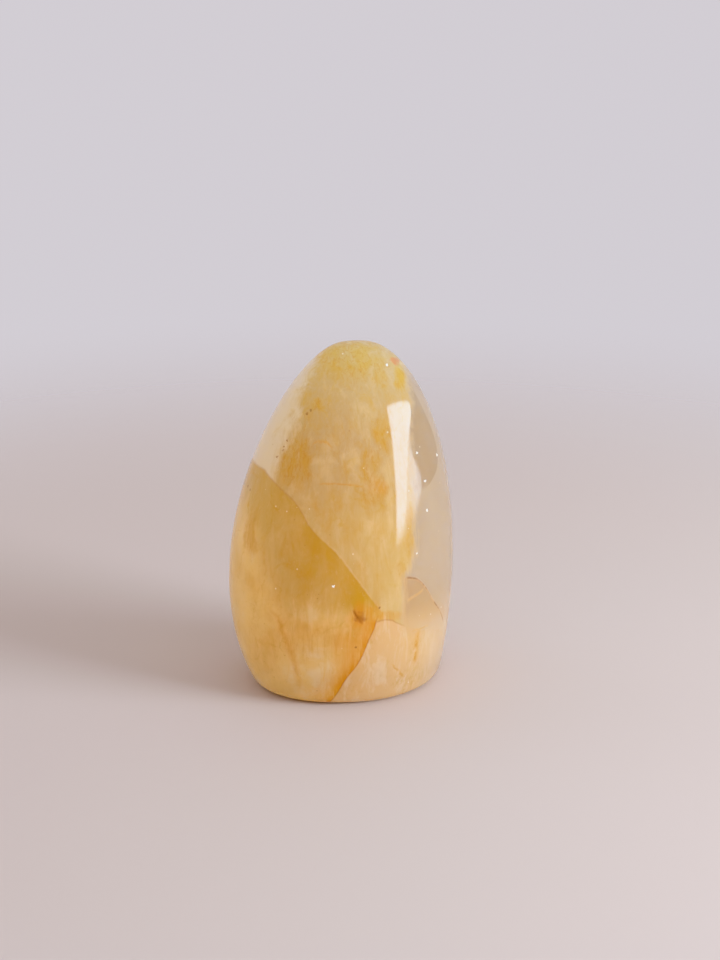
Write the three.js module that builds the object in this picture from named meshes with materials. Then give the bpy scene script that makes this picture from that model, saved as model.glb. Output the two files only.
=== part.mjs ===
// Golden quartz freeform: one hand-polished piece of translucent yellow quartz that stands on a flat sawn foot.
// Millimetres, +Z up. The broad polished face looks along -Y, and the stone's right is +X.
// The origin lies on the surface that the stone stands on, under the middle of the stone.

import * as THREE from "three";
import { mergeVertices } from "three/addons/utils/BufferGeometryUtils.js";

// Driving sizes of the stone.
const HEIGHT = 80;
const EGG_TIP = 80.6; // where the side curves would meet if the crest were not worn flat
const CREST_SOFTNESS = 0.5; // how gently the sides turn over into the worn crest
const BELLY_HEIGHT = 20.3; // where the stone is widest
const FOOT_EDGE_RADIUS = 1.8; // the polished edge round the sawn foot

// The crest stands a little right of the middle. Every reach below is measured from the upright line under it.
const CREST_X = 3.0;
const CREST_Y = 1.71;

// How far each side stands out at the belly, and at the foot before its edge is rounded.
// A lean above 0 gives slim shoulders and one below 0 full shoulders.
const RIGHT = { belly: 22.77, foot: 20.0, lean: -0.29 };
const BACK = { belly: 20.5, foot: 18.0, lean: 0.16 };
const LEFT = { belly: 28.9, foot: 23.25, lean: -0.187 };
const FRONT = { belly: 23.83, foot: 20.74, lean: 0.16 };

// How square the plan is between two sides: 2 is an ellipse.
const BACK_RIGHT = 2.25;
const BACK_LEFT = 2.3;
const FRONT_LEFT = 2.2;
const FRONT_RIGHT = 2.1;

// The right side stands further back than the left one: millimetres back for each millimetre to the right.
const BACKWARD_SKEW = 0.116;

// Faceting.
const COLUMNS = 80;
const SIDE_ROWS = 36;
const FOOT_EDGE_ROWS = 4;

// Height along a side's egg curve: -1 and 1 are the curve's own ends, 0 is the belly, 1 is the egg's tip.
// It is a quadratic in the height, so that the curve may be shorter below the belly than above it.
function eggHeight({ belly, foot, lean }, z) {
  const share = (foot / belly) ** 2;
  const footEnd = (share * lean + Math.sqrt((share * lean) ** 2 + 4 * (1 - share))) / 2;
  const above = EGG_TIP - BELLY_HEIGHT;
  const bend = (1 / above - footEnd / BELLY_HEIGHT) / EGG_TIP;
  const rise = 1 / above - bend * above;
  const fromBelly = z - BELLY_HEIGHT;
  return fromBelly * (rise + bend * fromBelly);
}

// How far one side stands out at a height, on its egg curve.
function sideReach(side, z) {
  const u = eggHeight(side, z);
  return side.belly * Math.sqrt(Math.max(0, 1 - u * u) / (1 + side.lean * u));
}

// The rounded foot edge draws the outline in near the floor, by a quarter circle.
function footEdgeInset(z) {
  const down = Math.max(0, 1 - z / FOOT_EDGE_RADIUS);
  return FOOT_EDGE_RADIUS * (1 - Math.sqrt(1 - down * down));
}

// The stone's radius about the upright line, towards an angle and at a height: a superellipse in each quarter.
function stoneRadius(angle, z) {
  const across = Math.cos(angle);
  const back = Math.sin(angle);
  const isRight = across >= 0;
  const isBack = back >= 0;
  const squareness = isRight
    ? (isBack ? BACK_RIGHT : FRONT_RIGHT)
    : (isBack ? BACK_LEFT : FRONT_LEFT);
  const acrossShare = Math.abs(across) / sideReach(isRight ? RIGHT : LEFT, z);
  const backShare = Math.abs(back) / sideReach(isBack ? BACK : FRONT, z);
  const radius = (acrossShare ** squareness + backShare ** squareness) ** (-1 / squareness);
  return radius - footEdgeInset(z);
}

// The crest is worn down: a soft lower of the egg's own height and a cap that brings the tip to the stone's height.
function wornHeight(z) {
  const lost = Math.exp((EGG_TIP - HEIGHT) / CREST_SOFTNESS) - 1;
  const cap = EGG_TIP - CREST_SOFTNESS * Math.log(lost);
  return z - CREST_SOFTNESS * Math.log1p(Math.exp((z - cap) / CREST_SOFTNESS));
}

// Heights of the rows on the egg, from the foot's edge up to just under its tip, closer together where it turns.
function rowHeights() {
  const heights = [];
  for (let i = 0; i <= FOOT_EDGE_ROWS; i++) {
    const turn = (i / FOOT_EDGE_ROWS) * (Math.PI / 2);
    heights.push(FOOT_EDGE_RADIUS * (1 - Math.cos(turn)));
  }
  for (let i = 1; i < SIDE_ROWS; i++) {
    const turn = (i / SIDE_ROWS) * (Math.PI / 2);
    heights.push(FOOT_EDGE_RADIUS + (EGG_TIP - FOOT_EDGE_RADIUS) * Math.sin(turn));
  }
  return heights;
}

// A turned blank of radius 1, closed on its axis by a flat foot and a crest, with every ring moved out to the stone.
function stoneGeometry() {
  const profile = [
    new THREE.Vector2(0, 0),
    ...rowHeights().map((z) => new THREE.Vector2(1, z)),
    new THREE.Vector2(0, EGG_TIP),
  ];
  const blank = new THREE.LatheGeometry(profile, COLUMNS).rotateX(Math.PI / 2);
  blank.deleteAttribute("normal");
  blank.deleteAttribute("uv");
  const geometry = mergeVertices(blank);
  const position = geometry.attributes.position;
  for (let i = 0; i < position.count; i++) {
    const onAxis = Math.hypot(position.getX(i), position.getY(i)) < 0.5;
    const angle = Math.atan2(position.getY(i), position.getX(i));
    const radius = onAxis ? 0 : stoneRadius(angle, position.getZ(i));
    const across = radius * Math.cos(angle);
    const back = radius * Math.sin(angle) + BACKWARD_SKEW * across;
    position.setXYZ(i, CREST_X + across, CREST_Y + back, wornHeight(position.getZ(i)));
  }
  geometry.computeVertexNormals();
  return geometry;
}

// Polished honey-gold quartz.
const goldenQuartz = new THREE.MeshStandardMaterial({ color: 0xcda468, roughness: 0.06, metalness: 0 });

const stone = new THREE.Mesh(stoneGeometry(), goldenQuartz);
stone.name = "quartz_freeform";

const freeform = new THREE.Group();
freeform.name = "golden_quartz_freeform";
freeform.add(stone);

export default freeform;
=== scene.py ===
import math

import bpy
import numpy as np
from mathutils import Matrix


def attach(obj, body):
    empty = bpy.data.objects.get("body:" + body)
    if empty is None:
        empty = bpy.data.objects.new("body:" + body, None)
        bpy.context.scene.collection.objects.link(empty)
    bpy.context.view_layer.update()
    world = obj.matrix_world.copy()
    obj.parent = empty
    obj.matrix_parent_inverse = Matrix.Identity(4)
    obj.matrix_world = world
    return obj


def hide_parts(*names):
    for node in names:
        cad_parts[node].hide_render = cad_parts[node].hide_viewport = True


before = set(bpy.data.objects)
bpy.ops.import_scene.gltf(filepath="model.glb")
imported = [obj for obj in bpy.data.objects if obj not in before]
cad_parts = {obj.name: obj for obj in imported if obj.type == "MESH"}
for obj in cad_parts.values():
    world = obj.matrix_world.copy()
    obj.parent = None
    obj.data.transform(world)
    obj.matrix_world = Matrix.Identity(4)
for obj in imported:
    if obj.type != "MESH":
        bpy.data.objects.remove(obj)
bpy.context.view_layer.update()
print("solid loaded")


# Millimetres. Each side has its belly reach, its foot reach and its lean.
stoneForm = {
    "height": 80.0,
    "eggTip": 80.6,  # where the side curves would meet if the crest were not worn flat
    "crestSoftness": 0.5,
    "bellyHeight": 20.3,
    "footEdge": 1.8,
    "crest": (3.0, 1.71),
    "right": (22.77, 20.0, -0.29),
    "back": (20.5, 18.0, 0.16),
    "left": (28.9, 23.25, -0.187),
    "front": (23.83, 20.74, 0.16),
    "squareness": {"backRight": 2.25, "backLeft": 2.3, "frontLeft": 2.2, "frontRight": 2.1},
    "skew": 0.116,
    "columns": 300,
    "sideRows": 200,
    "edgeRows": 10,
    "footRings": 6,
}


# One side's reach at heights z: an egg curve, belly * sqrt((1 - u^2) / (1 + lean * u)), where u is a quadratic
# in z that is 0 at the belly and 1 at the egg's tip.
def sideReach(side, z):
    belly, foot, lean = stoneForm[side]
    share = (foot / belly) ** 2
    footEnd = (share * lean + math.sqrt((share * lean) ** 2 + 4 * (1 - share))) / 2
    below = stoneForm["bellyHeight"]
    above = stoneForm["eggTip"] - below
    bend = (1 / above - footEnd / below) / stoneForm["eggTip"]
    rise = 1 / above - bend * above
    u = (z - below) * (rise + bend * (z - below))
    return belly * np.sqrt(np.maximum(0, 1 - u * u) / (1 + lean * u))


# The worn crest: a soft lower of the egg's height z and a cap, which brings the tip to the stone's height.
def wornHeight(z):
    soft, tip = stoneForm["crestSoftness"], stoneForm["eggTip"]
    cap = tip - soft * math.log(math.exp((tip - stoneForm["height"]) / soft) - 1)
    return z - soft * np.log1p(np.exp((z - cap) / soft))


# The stone at egg heights z and angles about the upright line under its crest: a superellipse in each
# quarter, drawn in by a quarter circle at the foot edge, and set further back towards the right.
def stoneSurface(z, angle, spread):
    across, back = np.cos(angle), np.sin(angle)
    isRight, isBack = across >= 0, back >= 0
    square = stoneForm["squareness"]
    power = np.where(
        isRight,
        np.where(isBack, square["backRight"], square["frontRight"]),
        np.where(isBack, square["backLeft"], square["frontLeft"]),
    )
    reachX = np.where(isRight, sideReach("right", z), sideReach("left", z))
    reachY = np.where(isBack, sideReach("back", z), sideReach("front", z))
    radius = (np.abs(across / reachX) ** power + np.abs(back / reachY) ** power) ** (-1 / power)
    down = np.maximum(0, 1 - z / stoneForm["footEdge"])
    radius = (radius - stoneForm["footEdge"] * (1 - np.sqrt(1 - down * down))) * spread
    x = radius * across
    y = radius * back + stoneForm["skew"] * x
    return np.stack([stoneForm["crest"][0] + x, stoneForm["crest"][1] + y, wornHeight(z) + 0 * x], axis=-1)


# A closed body from rings of equal length, with one point added at each end of the axis.
def ringBody(name, rings, lowPole, highPole):
    rows, columns = rings.shape[:2]
    points = np.concatenate([rings.reshape(-1, 3), [lowPole, highPole]]) / 1000.0
    low, high = rows * columns, rows * columns + 1
    i, j = np.meshgrid(np.arange(rows - 1), np.arange(columns), indexing="ij")
    a, b = i * columns + j, i * columns + (j + 1) % columns
    quads = np.stack([a, b, b + columns, a + columns], axis=-1).reshape(-1, 4)
    j = np.arange(columns)
    k = (j + 1) % columns
    foot = np.stack([np.full(columns, low), k, j], axis=-1)
    top = (rows - 1) * columns
    crest = np.stack([np.full(columns, high), top + j, top + k], axis=-1)
    mesh = bpy.data.meshes.new(name)
    mesh.from_pydata(points.tolist(), [], quads.tolist() + foot.tolist() + crest.tolist())
    mesh.shade_smooth()
    mesh.update()
    body = bpy.data.objects.new(name, mesh)
    bpy.context.scene.collection.objects.link(body)
    return body


# Rings of the polished form: flat rings out to the foot edge, a quarter circle up it, then the sides,
# closer together towards the crest.
def polishedForm():
    angle = np.linspace(0, 2 * math.pi, stoneForm["columns"], endpoint=False)
    footEdge, tip = stoneForm["footEdge"], stoneForm["eggTip"]
    spread = np.linspace(0, 1, stoneForm["footRings"] + 2)[1:-1]
    turn = np.linspace(0, math.pi / 2, stoneForm["edgeRows"])
    climb = np.linspace(0, math.pi / 2, stoneForm["sideRows"] + 1)[1:-1]
    edge, sides = footEdge * (1 - np.cos(turn)), footEdge + (tip - footEdge) * np.sin(climb)
    z = np.concatenate([0 * spread, edge, sides])
    spread = np.concatenate([spread, np.ones(len(z) - len(spread))])
    rings = stoneSurface(z[:, None], angle[None, :], spread[:, None])
    axis = stoneForm["crest"]
    return ringBody("quartz_stone", rings, (*axis, 0.0), (*axis, stoneForm["height"]))


# One socket of a material. Arithmetic on it adds Math nodes, and any other node comes from node().
class Value:
    def __init__(self, tree, socket):
        self.tree = tree
        self.socket = socket

    def node(self, kind, settings, inputs, out=0):
        made = self.tree.nodes.new("ShaderNode" + kind)
        for name, value in settings.items():
            if name == "curve":
                points = made.mapping.curves[0].points
                while len(points) < len(value):
                    points.new(0.5, 0.5)
                for point, place in zip(points, value):
                    point.location = place
                made.mapping.update()
            else:
                setattr(made, name, value)
        for name, value in inputs.items():
            if isinstance(value, Value):
                self.tree.links.new(value.socket, made.inputs[name])
            else:
                made.inputs[name].default_value = value
        return Value(self.tree, made.outputs[out]) if made.outputs else None

    def math(self, operation, *others):
        return self.node("Math", {"operation": operation}, dict(enumerate((self, *others))))

    def __add__(self, other):
        return self.math("ADD", other)

    def __sub__(self, other):
        return self.math("SUBTRACT", other)

    def __mul__(self, other):
        return self.math("MULTIPLY", other)

    def __truediv__(self, other):
        return self.math("DIVIDE", other)

    def __rsub__(self, other):
        return self * -1.0 + other

    __radd__ = __add__
    __rmul__ = __mul__

    # the larger of two masks
    def __or__(self, other):
        return self.math("MAXIMUM", other)

    # 0 below low and 1 above high, with a soft step between; turned round when low is above high
    def step(self, low, high, kind="SMOOTHSTEP"):
        ends = {"Value": self, "From Min": low, "From Max": high}
        return self.node("MapRange", {"interpolation_type": kind}, ends)

    # 1 between low and high, with soft ends
    def span(self, low, high, soft):
        return self.step(low - soft, low + soft) * self.step(high + soft, high - soft)

    # 1 on a line where this is 0, down to 0 at the given half width
    def line(self, width):
        return self.math("ABSOLUTE").step(width, 0.0)

    # a smooth curve through points of (this, result)
    def trace(self, points):
        low, high = np.min(points, axis=0), np.max(points, axis=0)
        reach = np.maximum(high - low, 1e-6)  # a level line has no rise
        share = self.step(float(low[0]), float(high[0]), "LINEAR")
        curve = {"curve": ((np.array(points) - low) / reach).tolist()}
        return share.node("FloatCurve", curve, {"Value": share}) * float(reach[1]) + float(low[1])

    def blend(self, first, second):
        return self.node("Mix", {"data_type": "RGBA"}, {0: self, 6: first, 7: second}, 2)

    def noise(self, scale, detail=3.0, roughness=0.5, distortion=0.0):
        return self.node("TexNoise", {}, {
            "Vector": self, "Scale": scale, "Detail": detail, "Roughness": roughness, "Distortion": distortion})

    def scaled(self, factors):
        return self.node("VectorMath", {"operation": "MULTIPLY"}, {0: self, 1: factors})

    # each place moved about by up to half the amount
    def shaken(self, scale, amount):
        drift = self.node("TexNoise", {}, {"Vector": self, "Scale": scale, "Detail": 4.0}, "Color")
        centred = drift.node("VectorMath", {"operation": "SUBTRACT"}, {0: drift, 1: (0.5, 0.5, 0.5)})
        moved = {0: centred, 1: (amount, amount, amount), 2: self}
        return self.node("VectorMath", {"operation": "MULTIPLY_ADD"}, moved)

    # 1 at a place, down to 0 on the ellipsoid about it
    def patch(self, place, radii, core=0.4):
        inner = {0: self, 1: [1 / r for r in radii], 2: [-p / r for p, r in zip(place, radii)]}
        offset = self.node("VectorMath", {"operation": "MULTIPLY_ADD"}, inner)
        return offset.node("VectorMath", {"operation": "LENGTH"}, {0: offset}, "Value").step(1.0, core)

    # the largest of the patches in a list of (place, radii, strength)
    def patches(self, places):
        return largest([self.patch(place, radii) * strength for place, radii, strength in places])

    # small round spots of one radius at the given places
    def spots(self, places, radius):
        return self.patches([(place, (radius, radius, radius), 1.0) for place in places])

    def xyz(self):
        parts = self.node("SeparateXYZ", {}, {0: self})
        return [Value(self.tree, socket) for socket in parts.socket.node.outputs]


# The largest of several masks.
def largest(masks):
    whole = masks[0]
    for mask in masks[1:]:
        whole = whole | mask
    return whole


# A colour as seen on screen, 0 to 255, as the linear colour that shaders take.
def tone(red, green, blue):
    share = np.array([red, green, blue]) / 255.0
    linear = np.where(share <= 0.04045, share / 12.92, ((share + 0.055) / 1.055) ** 2.4)
    return (*linear.tolist(), 1.0)


def newMaterial(name):
    material = bpy.data.materials.new(name)
    material.use_nodes = True
    material.node_tree.nodes.clear()
    tree = material.node_tree
    place = Value(tree, tree.nodes.new("ShaderNodeTexCoord").outputs["Object"])
    return material, place


# Colours of the stone, and the places of its fractures, clouds, spots and painted glints in millimetres.
quartz = {
    "khaki": tone(166, 138, 102),
    "honey": tone(181, 150, 99),
    "yellow": tone(172, 128, 46),
    "deepGold": tone(170, 128, 13),
    "milkyTan": tone(213, 168, 114),
    "milk": tone(198, 166, 126),
    "stain": tone(190, 122, 16),
    "peach": tone(197, 154, 110),
    "clearBeige": tone(192, 168, 147),
    "paleMargin": tone(215, 187, 165),
    # painted reflection: the grey of the oval on the clear flank
    "reflectionGrey": tone(166, 142, 117),
    "crackBrown": tone(118, 68, 14),
    "arcBrown": tone(92, 58, 6),
    "threadGold": tone(164, 112, 26),
    "rust": tone(186, 84, 48),
    "pit": tone(96, 56, 20),
    "white": tone(255, 252, 246),
    "clearTone": (1.0, 0.985, 0.96, 1.0),
    "ior": 1.544,
    "roughness": 0.045,
    "polishWaves": 0.0001,  # height of the faint waves that hand polishing leaves, in metres
    "scatter": 0.15,  # how far light runs in the milky quartz, in metres
    "scatterRadius": (1.0, 0.8, 0.5),
    "absorbTone": (0.98, 0.87, 0.62, 1.0),
    "absorbDensity": 22.0,
    "throughTone": (0.97, 0.78, 0.45, 1.0),
    "throughShare": 0.3,  # of the lamps' light that goes on through the stone
    # share of clear quartz all over, and what the flank and the margin add to it
    "clearAllOver": 0.16,
    "clearFlank": 0.4,
    "clearMargin": 0.14,
    # edges and cracks: the veil, the ledge and the arc as (x, z), the edge of the oval of painted reflection as
    # (z, y), the rest as (z, x)
    "veil": [(-22.0, 53.0), (-17.8, 53.4), (-15.7, 52.0), (-13.5, 50.2), (-11.0, 48.4), (-9.2, 46.2),
             (-7.0, 42.6), (-4.3, 39.9), (-1.4, 37.3), (2.6, 32.1), (5.5, 28.1), (8.4, 24.1), (14.0, 16.0)],
    "crack": [(0.0, -2.6), (2.6, -1.3), (7.5, 1.0), (11.5, 3.7), (16.6, 5.9), (19.1, 7.1), (22.4, 8.2)],
    "ledge": [(7.0, 20.2), (9.1, 21.0), (10.7, 21.0), (12.5, 20.1), (14.1, 19.2), (26.0, 15.5)],
    "arc": [(14.1, 30.0), (15.9, 29.6), (17.5, 28.6), (19.2, 26.2), (20.6, 23.1), (22.6, 18.7), (23.7, 14.1)],
    "flankEdge": [(0.0, 14.2), (19.0, 14.2), (28.0, 14.0), (32.0, 15.2), (38.0, 16.3), (47.0, 16.3),
                  (56.0, 15.8), (71.0, 15.2), (80.0, 13.0)],
    "marginEdge": [(50.0, -15.5), (56.0, -14.0), (60.4, -12.2), (65.5, -9.4), (69.6, -7.6), (73.7, -5.4),
                   (80.0, -1.5)],
    "reflectionOvalEdge": [(48.7, -8.6), (50.1, -6.3), (52.1, -3.8), (55.1, -2.0), (59.2, -1.3), (63.5, -1.4),
                 (69.6, -1.1), (74.0, 0.0)],
    # a fine line: the axis it runs along, its route as (place along, place across), how far the ripple and the
    # sway shake it, its half width, and its two ends with their softness
    "wedge": ("z", [(20.8, 4.6), (22.4, 3.5), (23.9, 2.8)], (0.7, 0.0), 0.65, (20.9, 24.0, 0.5)),
    # the same for the gold lines, each with its strength
    "goldLines": {
        "seam": ("z", [(3.8, -9.5), (9.7, -10.3), (15.4, -12.1), (21.1, -14.3), (23.5, -16.6)], (0.8, 2.0), 1.1,
                 (5.0, 23.0, 2.5), 0.4),
        "upright": ("z", [(7.0, 16.53), (18.0, 17.52)], (1.4, 0.0), 0.8, (8.8, 16.8, 0.9), 0.85),
        "squiggle": ("z", [(5.6, 14.2), (8.0, 12.8), (10.0, 11.2)], (1.6, 0.0), 0.6, (5.8, 9.8, 0.4), 0.65),
        "level": ("x", [(15.0, 16.9), (21.0, 16.9)], (0.6, 0.0), 0.4, (16.2, 19.6, 0.5), 0.5),
        "short": ("x", [(14.0, 24.18), (20.0, 26.7)], (0.6, 0.0), 0.6, (15.0, 18.4, 0.4), 0.45),
        "bow": ("x", [(-6.5, 59.9), (-4.3, 60.7), (-2.0, 59.2)], (1.2, 0.0), 0.55, (-6.3, -2.2, 0.6), 0.6),
        "bar": ("x", [(-4.9, 51.9), (-1.4, 51.9), (2.0, 51.6), (5.3, 50.8)], (0.8, 0.0), 0.4,
                (-4.6, 5.0, 1.0), 0.65),
    },
    # clouds, as (place, radii, strength)
    "goldClouds": [((-9.8, -12.5, 55.8), (4.6, 8.0, 8.5), 0.75), ((-5.1, -8.9, 68.2), (2.4, 5.0, 2.2), 0.8),
                   ((9.6, -10.0, 62.0), (3.0, 7.0, 6.0), 0.7), ((8.6, -4.6, 73.5), (2.2, 6.0, 3.4), 0.55),
                   ((13.3, -2.3, 72.0), (1.7, 5.0, 4.0), 0.9), ((6.8, -14.0, 54.5), (3.2, 8.0, 6.5), 0.6),
                   ((7.2, -15.8, 49.4), (4.0, 8.0, 3.0), 0.5), ((13.8, -17.2, 31.0), (1.4, 5.0, 4.0), 0.8),
                   ((15.4, -14.0, 42.0), (1.3, 6.0, 9.0), 0.5), ((-12.0, -14.0, 53.0), (1.4, 5.0, 4.0), 0.5),
                   ((-1.0, -13.0, 61.0), (2.0, 8.0, 6.0), 0.2), ((2.0, -2.5, 77.5), (12.0, 9.0, 7.0), 0.8),
                   ((-6.0, -20.0, 17.0), (13.0, 9.0, 7.0), 0.4),
                   ((-17.0, -15.0, 12.0), (7.0, 9.0, 9.0), 0.15),
                   ((-20.6, -12.0, 39.4), (1.9, 9.0, 7.0), 0.6)],
    "paleClouds": [((-4.0, -14.5, 55.5), (3.2, 7.0, 4.2), 0.25), ((2.2, -13.5, 57.0), (2.8, 7.0, 3.6), 0.6),
                   ((4.5, -10.0, 66.0), (4.0, 8.0, 6.0), 0.4), ((-8.2, -21.8, 23.2), (3.6, 7.0, 2.2), 0.8),
                   ((-11.4, -6.5, 66.6), (1.0, 3.0, 1.0), 0.7), ((11.5, -14.5, 52.0), (2.6, 7.0, 9.0), 0.45),
                   ((8.8, -17.5, 41.0), (3.8, 7.0, 7.0), 0.7)],
    "stainClouds": [((4.8, -21.2, 22.4), (5.0, 8.0, 4.0), 0.7), ((1.0, -22.0, 14.0), (4.0, 8.0, 8.0), 0.4),
                    ((11.0, -19.8, 21.8), (5.0, 7.0, 1.8), 0.5), ((8.0, -15.0, 51.0), (2.6, 6.0, 2.6), 0.3)],
    "knot": ((4.4, -21.3, 22.6), (2.4, 5.0, 1.5)),
    # spots
    "pits": [(-6.7, -9.0, 67.0), (-7.6, -9.2, 66.2), (-12.8, -10.5, 58.9), (-13.0, -10.7, 58.2),
             (-12.1, -10.2, 60.2), (-14.4, -10.7, 56.6), (-20.7, -3.4, 51.6), (-21.1, -6.7, 48.4),
             (-20.6, -8.3, 48.0), (8.6, -20.6, 24.1), (3.2, -22.1, 15.3)],
    "pitRadius": 0.4,
    # painted glints: places of the white flecks
    "glintFlecks": [(19.4, -10.2, 43.7), (21.8, -2.6, 54.4), (17.1, -14.4, 34.9), (10.4, -2.2, 75.5),
               (-1.8, -21.5, 29.6), (17.1, -8.0, 56.6), (18.9, -8.6, 50.1)],
    "glintRadius": 0.38,
    "rustSpot": (12.4, 0.1, 75.6),
    "rustRadius": 1.8,
}


# Golden healer quartz: milky honey clouds in clear quartz. The colour and the share of clear quartz are
# functions of the place in the stone, so every vein runs on round to the other sides.
def quartzMaterial():
    material, place = newMaterial("golden_quartz")
    mm = place.scaled((1000.0, 1000.0, 1000.0))
    x, y, z = mm.xyz()
    front = y.step(2.0, -5.0)
    sway = mm.noise(0.11, 4.0, 0.6) - 0.5
    ripple = mm.noise(0.5, 3.0, 0.6) - 0.5
    fibres = mm.scaled((1.0, 1.0, 0.22)).noise(0.35, 5.0, 0.65, 0.6)  # upright wisps
    threads = mm.scaled((1.0, 1.0, 0.12)).noise(0.95, 4.0, 0.6, 0.3)  # finer upright lines
    needles = mm.scaled((1.0, 1.0, 0.16)).noise(1.5, 3.0, 0.65, 0.5).step(0.5, 0.6)  # sharp and short ones
    clouds = mm.noise(0.085, 5.0, 0.6, 0.4)
    loose = mm.shaken(0.3, 4.5)  # gives clouds ragged edges
    ragged = mm.shaken(2.4, 0.9)  # and does the same for spots
    wisp = 0.35 + 0.65 * fibres.step(0.34, 0.62)
    grain = mm.scaled((1.0, 1.0, 0.5)).noise(1.3, 4.0, 0.7)

    # healed cracks: the walls of stretched cells, broken up
    cells = {"Vector": mm.shaken(0.2, 7.0).scaled((0.13, 0.13, 0.06)), "Scale": 1.0}
    healed = mm.node("TexVoronoi", {"feature": "DISTANCE_TO_EDGE"}, cells, "Distance").step(0.045, 0.0)
    healed = healed * clouds.step(0.42, 0.6) * (0.3 + 0.7 * ripple.step(-0.1, 0.15))

    # the slanting veil: gold below it, fading into a paler band at the lower left and above the foot, partly
    # milky quartz and partly painted glow of light that comes through the stone
    dip = 0.3 * (y.math("MAXIMUM", -2.0) + 2.0)  # it dips towards the back
    veil = (z - x.trace(quartz["veil"])) * 0.62 + dip + ripple * 0.6 + sway * (0.6 + dip)
    band = (z + 1.75 * x - 0.1 * y - 3.5) / 2.02 + sway * 4.0 + ripple * 2.0
    below = veil.step(0.25, -0.25)
    fading = z + sway * 12.0 + ripple * 2.0 + (fibres - 0.5) * 12.0
    gold = below * (0.55 * band.step(-0.9, 1.2) + 0.45 * band.step(-1.0, 6.0)) * fading.step(17.0, 28.0)
    gold = gold * (0.3 + 0.7 * veil.step(-17.0, -1.0)) * (0.15 + 0.85 * x.step(-20.0, -7.0))
    gold = gold * (0.6 + 0.4 * clouds.step(0.3, 0.6)) * (0.85 + 0.15 * wisp)
    veilLine = veil.line(0.3) * x.span(-19.0, -6.0, 3.0)

    # the low crack, stained on its left and clear on its right, and the clear block that it bounds
    crack = x - z.trace(quartz["crack"]) + 0.25 * (y + 21.0) + ripple * 0.5
    ledge = z - x.trace(quartz["ledge"]) + 0.2 * (y + 20.0) + ripple * 0.5
    low = z.step(22.8, 20.5)
    stain = (crack.step(-8.0, -0.4) * 0.6 + crack.step(-2.6, -0.1) * 0.4) * crack.step(0.15, -0.1) * low
    stain = stain * (0.55 + 0.45 * threads.step(0.35, 0.6))
    block = crack.step(-0.1, 0.2) * ledge.step(0.25, -0.25) * y.step(8.0, -4.0)

    # the clear flank on the right with its greyer oval, a painted reflection, and the clear margin at the upper
    # left
    flank = (x - z.trace(quartz["flankEdge"]) + sway * 2.0 + (threads - 0.5) * 2.4).step(-1.2, 1.4)
    high = z.step(15.0, 23.0)
    flank = flank * high + x.step(13.0, 23.5) * (1.0 - high)
    reflectionOval = (y - z.trace(quartz["reflectionOvalEdge"])).step(0.3, -0.3) * z.span(48.9, 71.0, 1.0) * flank
    margin = x - z.trace(quartz["marginEdge"]) + 0.2 * (y + 10.0) + sway * 3.0 + (fibres - 0.5) * 7.0
    margin = margin.step(1.4, -2.0) * (1.0 - below) * z.step(40.0, 50.0)
    rim = (x + sway * 4.0).step(-20.6, -23.6) * z.span(14.0, 50.0, 6.0) * y.step(2.0, -6.0)

    # one fine line on the front: near its route, shaken, and cut off softly at its ends
    def fineLine(axis, route, shake, halfWidth, ends):
        along, across = (x, z) if axis == "x" else (z, x)
        offset = across - along.trace(route) + ripple * shake[0] + sway * shake[1]
        return offset.line(halfWidth) * along.span(*ends) * front

    goldLines = largest([fineLine(*shape) * strength for *shape, strength in quartz["goldLines"].values()])
    crackLine = crack.line(0.36) * low
    ledgeLine = ledge.line(0.4) * crack.step(-0.2, 0.2) * x.span(7.0, 14.2, 0.4) * front
    wedge = fineLine(*quartz["wedge"])
    darkLines = largest([crackLine * 0.6, ledgeLine * 0.4, wedge * 0.95, veilLine * 0.3])
    # painted highlight: a pale line along the veil's edge
    veilHighlight = (veil - 0.2).line(0.35) * x.span(-3.0, 6.0, 2.0) * front
    aboveArc = z - x.trace(quartz["arc"]) + ripple * 0.4
    arc = aboveArc.line(0.6) * x.span(14.6, 23.4, 0.6) * front
    underArc = aboveArc.step(0.2, -0.2) * x.step(13.6, 14.4) * (1.0 - block) * front
    broken = 0.45 + 0.55 * ripple.step(-0.2, 0.15)
    worn = 0.3 + 0.7 * broken

    # pits, and bright flecks, which are painted glints where small cracks catch the light, with more of both
    # strewn through the stone
    strewn = {"Vector": mm, "Scale": 0.4}
    pick = mm.node("TexVoronoi", {}, strewn, "Color").xyz()[0]
    dot = mm.node("TexVoronoi", {}, strewn, "Distance").step(0.1, 0.05)
    pits = ragged.spots(quartz["pits"], quartz["pitRadius"]) | (dot * pick.step(0.72, 0.75) * 0.5)
    glintFlecks = ragged.spots(quartz["glintFlecks"], quartz["glintRadius"]) | (dot * pick.step(0.2, 0.17) * 0.25)
    rust = loose.spots([quartz["rustSpot"]], quartz["rustRadius"])

    # the two tones that are cloudy themselves
    tan = (clouds.step(0.48, 0.68) * wisp * 0.35).blend(quartz["milkyTan"], quartz["yellow"])
    tan = (clouds.step(0.5, 0.34) * fibres.step(0.6, 0.36) * 0.45).blend(tan, quartz["paleMargin"])
    blockTone = (fibres.step(0.52, 0.34) * 0.4).blend(quartz["peach"], quartz["paleMargin"])
    blockTone = (clouds.step(0.5, 0.68) * grain.step(0.4, 0.65) * 0.5).blend(blockTone, quartz["yellow"])

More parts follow.
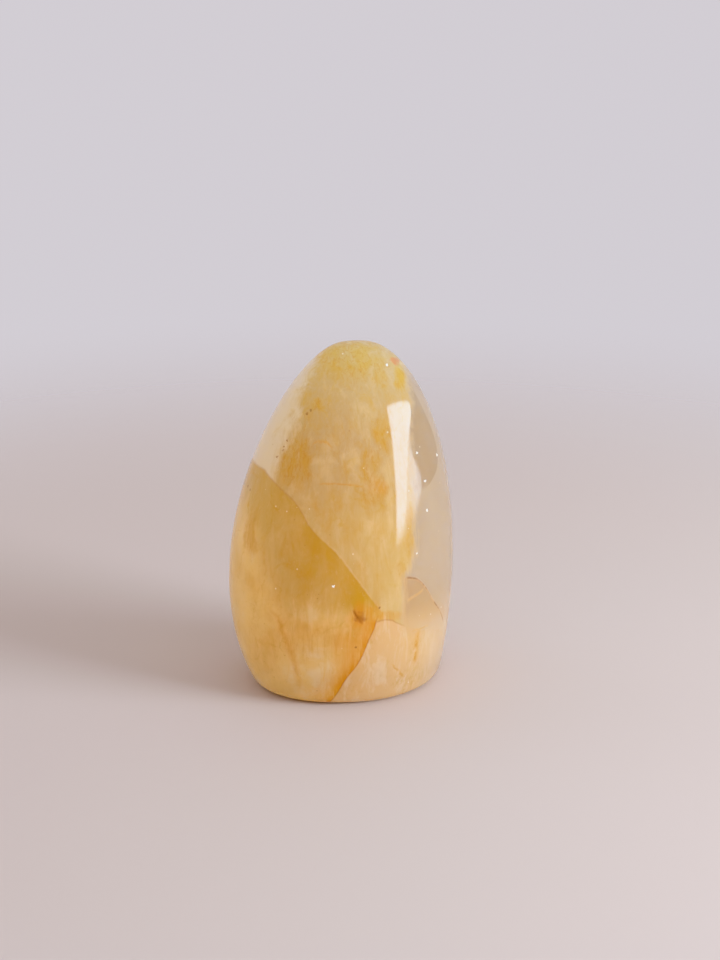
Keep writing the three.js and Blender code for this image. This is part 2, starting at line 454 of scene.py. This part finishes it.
    # the colour, as layers of (mask, tone) from the bottom one up; a number that ends a mask is its strength
    upper = (z + sway * 14.0).step(38.0, 62.0)
    goldClouds = loose.patches(quartz["goldClouds"])
    layers = [
        (upper, quartz["khaki"]),
        (clouds.step(0.46, 0.28) * 0.5, quartz["milk"]),
        (fibres.step(0.5, 0.3) * 0.35, quartz["milk"]),
        (fibres.step(0.46, 0.7) * 0.4 + threads.step(0.48, 0.75) * 0.25, quartz["yellow"]),
        (healed * 0.45, quartz["deepGold"]),
        # paler band below the veil: milky quartz, and partly a painted glow of light coming through the stone
        (below * (fading.step(29.0, 17.0) | band.step(5.0, -4.0)), tan),
        (below * healed * 0.3, quartz["yellow"]),
        (goldClouds * wisp, quartz["yellow"]),
        (needles * (0.1 * upper + 0.4 * goldClouds), quartz["threadGold"]),
        (gold, quartz["deepGold"]),
        (loose.patches(quartz["paleClouds"]) * (1.2 - wisp), quartz["milk"]),
        (loose.patches(quartz["stainClouds"]) * wisp, quartz["stain"]),
        (grain.step(0.55, 0.8) * 0.35, quartz["yellow"]),
        (grain.step(0.45, 0.2) * 0.35, quartz["milk"]),
        ((margin * 0.9) | (rim * 0.1), quartz["paleMargin"]),
        (flank * 0.95, quartz["clearBeige"]),
        (flank * z.step(30.0, 16.0) * 0.6, quartz["peach"]),
        # painted reflection: the greyer oval on the clear flank
        (reflectionOval * 0.8, quartz["reflectionGrey"]),
        (underArc * z.step(16.0, 20.0) * 0.75, quartz["peach"]),
        (stain, quartz["stain"]),
        (block * (1.0 - 0.7 * flank) * 0.95, blockTone),
        (goldLines * broken, quartz["threadGold"]),
        (darkLines * worn, quartz["crackBrown"]),
        (loose.patch(*quartz["knot"]) * broken * 0.6, quartz["crackBrown"]),
        (arc * worn * 0.85, quartz["arcBrown"]),
        # painted highlight along the veil's edge
        (veilHighlight * 0.35, quartz["milk"]),
        (rust * 0.7, quartz["rust"]),
        (pits * 0.7, quartz["pit"]),
        # painted glints: white flecks
        (glintFlecks, quartz["white"]),
    ]
    colour = quartz["honey"]
    for mask, layerTone in layers:
        colour = mask.blend(colour, layerTone)

    # lines and spots are not clear, and neither is the foot of the flank
    clearness = (quartz["clearFlank"] * flank + quartz["clearMargin"] * margin) * z.step(10.0, 26.0)
    clearness = clearness + quartz["clearAllOver"]
    milkiness = 1.0 - clearness * (1.0 - largest([glintFlecks, pits, goldLines, darkLines, arc]))

    waves = {"Strength": 0.2, "Distance": quartz["polishWaves"], "Height": mm.noise(0.06, 2.0)}
    shine = {"Roughness": quartz["roughness"], "IOR": quartz["ior"], "Normal": mm.node("Bump", {}, waves)}
    milky = place.node("BsdfPrincipled", {"subsurface_method": "RANDOM_WALK"}, {
        "Base Color": colour, "Subsurface Weight": 1.0, "Subsurface Radius": quartz["scatterRadius"],
        "Subsurface Scale": quartz["scatter"], **shine})
    clear = place.node("BsdfPrincipled", {}, {
        "Base Color": quartz["clearTone"], "Transmission Weight": 1.0, **shine})
    glow = place.node("BsdfTranslucent", {}, {"Color": quartz["honey"]})  # milky quartz seen from inside
    outer = place.node("MixShader", {}, {0: milkiness, 1: clear, 2: milky})
    inner = place.node("MixShader", {}, {0: milkiness, 1: clear, 2: glow})
    side = place.node("NewGeometry", {}, {}, "Backfacing")
    body = place.node("MixShader", {}, {0: side, 1: outer, 2: inner})

    # part of the light of the lamps goes on through the stone and tints its shadow
    lamps = place.node("LightPath", {}, {}, "Is Shadow Ray")
    through = place.node("BsdfTransparent", {}, {"Color": quartz["throughTone"]})
    surface = place.node("MixShader", {}, {0: lamps * quartz["throughShare"], 1: body, 2: through})
    tint = place.node("VolumeAbsorption", {}, {
        "Color": quartz["absorbTone"], "Density": quartz["absorbDensity"]})
    place.node("OutputMaterial", {}, {"Surface": surface, "Volume": tint})
    return material


stone = polishedForm()
stone.data.materials.append(quartzMaterial())
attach(stone, "root")
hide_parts("quartz_freeform")
print("stone polished:", len(stone.data.polygons), "faces")


studio = {
    # metres, unless a note says otherwise
    "floorTone": tone(210, 196, 185),
    "floorRoughness": 0.7,
    "floorRadius": 0.5,
    "floorSides": 96,
    "floorFade": (0.12, 0.34),  # how far out the floor starts to fade into the surround, and where it is gone
    "floorDrop": 0.0002,
    # painted light: the glow of the floor under the foot, which is no lamp but lights the stone from below, and
    # the place and reach of that foot
    "footGlowTone": (0.43, 0.41, 0.45, 1.0),
    "footMiddle": (0.0014, 0.0003, 0.0),
    "footReach": (0.0192, 0.017, 1.0),
    "wallTone": (0.685, 0.65, 0.698),
    "lampTone": (0.85, 0.98, 1.16),
    "lampDistance": 0.6,
    # degrees from the stone's right towards its front, width, height, middle height, watts, and whether its
    # reflection shows
    "lamps": {
        "softbox": (22.0, 0.54, 0.38, 0.21, 7.2, True),
        "window": (22.0, 0.3, 0.36, 0.22, 2.8, False),
        "white_card": (200.0, 0.3, 0.14, 0.08, 0.8, False),
    },
    # the softbox's lit face, across from its middle and up from the floor: its left side, its top at the middle
    # with its slope, its faded foot, and the right ends of its bright and dimmer parts, as (height, end)
    "softboxLeft": -0.165,
    "softboxTop": (0.342, -0.25),
    "softboxFoot": (0.02, 0.09),
    "softboxBright": [(0.0, -0.12), (0.074, -0.052), (0.099, -0.035), (0.131, -0.017), (0.166, 0.014),
                      (0.202, 0.054), (0.23, 0.156), (0.274, 0.27), (0.4, 0.27)],
    "softboxDim": [(0.0, -0.14), (0.026, -0.069), (0.035, 0.061), (0.051, 0.14), (0.073, 0.192), (0.1, 0.165),
                   (0.148, 0.102), (0.185, 0.072), (0.23, 0.156), (0.274, 0.27), (0.4, 0.27)],
    "softboxDimShare": 0.45,
    "softboxSoft": {"left": 0.015, "top": 0.012, "right": 0.02},  # softness of its edges
    "cameraPlace": (0.00008, -0.55315, 0.2301),
    "cameraTurn": (90.0 - 18.262, 0.0, -0.438),  # degrees
    "cameraLens": 95.24,  # millimetres, as is the sensor
    "cameraSensor": 36.0,
    "cameraNear": 0.01,
}


# A flat round floor that fades into the plain surround.
def studioFloor():
    sides = studio["floorSides"]
    angle = np.linspace(0, 2 * math.pi, sides, endpoint=False)
    rim = np.stack([np.cos(angle), np.sin(angle), 0 * angle], axis=-1) * studio["floorRadius"]
    points = np.concatenate([[[0, 0, 0]], rim]) - [0, 0, studio["floorDrop"]]
    j = np.arange(sides)
    fan = np.stack([0 * j, 1 + j, 1 + (j + 1) % sides], axis=-1)
    mesh = bpy.data.meshes.new("studio_floor")
    mesh.from_pydata(points.tolist(), [], fan.tolist())
    floor = bpy.data.objects.new("studio_floor", mesh)
    bpy.context.scene.collection.objects.link(floor)
    material, place = newMaterial("pale_floor")
    far = place.node("VectorMath", {"operation": "LENGTH"}, {0: place}, "Value")
    fadeStart, fadeEnd = studio["floorFade"]
    # painted light: the floor under the foot glows, though it is no lamp, standing in for lamp light that comes
    # through the stone
    under = place.patch(studio["footMiddle"], studio["footReach"], 0.85)
    board = place.node("BsdfPrincipled", {}, {
        "Base Color": studio["floorTone"], "Roughness": studio["floorRoughness"],
        "Emission Color": under.blend((0.0, 0.0, 0.0, 1.0), studio["footGlowTone"]), "Emission Strength": 1.0})
    air = place.node("BsdfTransparent", {}, {})
    surface = place.node("MixShader", {}, {0: far.step(fadeEnd, fadeStart), 1: air, 2: board})
    place.node("OutputMaterial", {}, {"Surface": surface})
    mesh.materials.append(material)


# The lit face of the softbox, soft at its edges.
def softboxFace(lamp, width, height, middle):
    lamp.use_nodes = True
    tree = lamp.node_tree
    tree.nodes.clear()
    face = Value(tree, tree.nodes.new("ShaderNodeNewGeometry").outputs["Parametric"])
    across, up, _ = face.xyz()
    across, up = (across - 0.5) * width, (up - 0.5) * height + middle
    top, slope = studio["softboxTop"]
    soft = studio["softboxSoft"]
    lit = (across - studio["softboxLeft"]).step(-soft["left"], soft["left"])
    lit = lit * (up - slope * across - top).step(soft["top"], -soft["top"]) * up.step(*studio["softboxFoot"])
    bright = (across - up.trace(studio["softboxBright"])).step(soft["right"], -soft["right"])
    dim = (across - up.trace(studio["softboxDim"])).step(soft["right"], -soft["right"])
    strength = lit * (bright | (dim * studio["softboxDimShare"]))
    face.node("OutputLight", {}, {"Surface": face.node("Emission", {}, {"Strength": strength})})


def studioLight():
    world = bpy.data.worlds.new("soft_surround")
    bpy.context.scene.world = world
    world.use_nodes = True
    surround = world.node_tree.nodes["Background"]
    surround.inputs["Color"].default_value = (*studio["wallTone"], 1.0)
    surround.inputs["Strength"].default_value = 1.0
    for name, (azimuth, width, height, middle, watts, shows) in studio["lamps"].items():
        lamp = bpy.data.lights.new(name, "AREA")
        lamp.shape = "RECTANGLE"
        lamp.size, lamp.size_y = width, height
        lamp.energy = watts
        lamp.color = studio["lampTone"]
        if name == "softbox":
            softboxFace(lamp, width, height, middle)
        holder = bpy.data.objects.new(name, lamp)
        turn, away = math.radians(azimuth), studio["lampDistance"]
        holder.location = (away * math.cos(turn), -away * math.sin(turn), middle)
        holder.rotation_euler = (math.radians(90), 0, math.radians(90) - turn)
        holder.visible_camera = False
        holder.visible_glossy = holder.visible_transmission = shows
        bpy.context.scene.collection.objects.link(holder)


# The camera stands above the front, turned a little so that the stone sits low in the frame.
def studioCamera():
    lens = bpy.data.cameras.new("studio_camera")
    lens.lens = studio["cameraLens"]
    lens.sensor_width = studio["cameraSensor"]
    lens.clip_start = studio["cameraNear"]
    camera = bpy.data.objects.new("studio_camera", lens)
    camera.location = studio["cameraPlace"]
    camera.rotation_euler = np.radians(studio["cameraTurn"]).tolist()
    bpy.context.scene.collection.objects.link(camera)
    bpy.context.scene.camera = camera


studioFloor()
studioLight()
studioCamera()
bpy.context.scene.view_settings.view_transform = "Khronos PBR Neutral"
print("studio set")
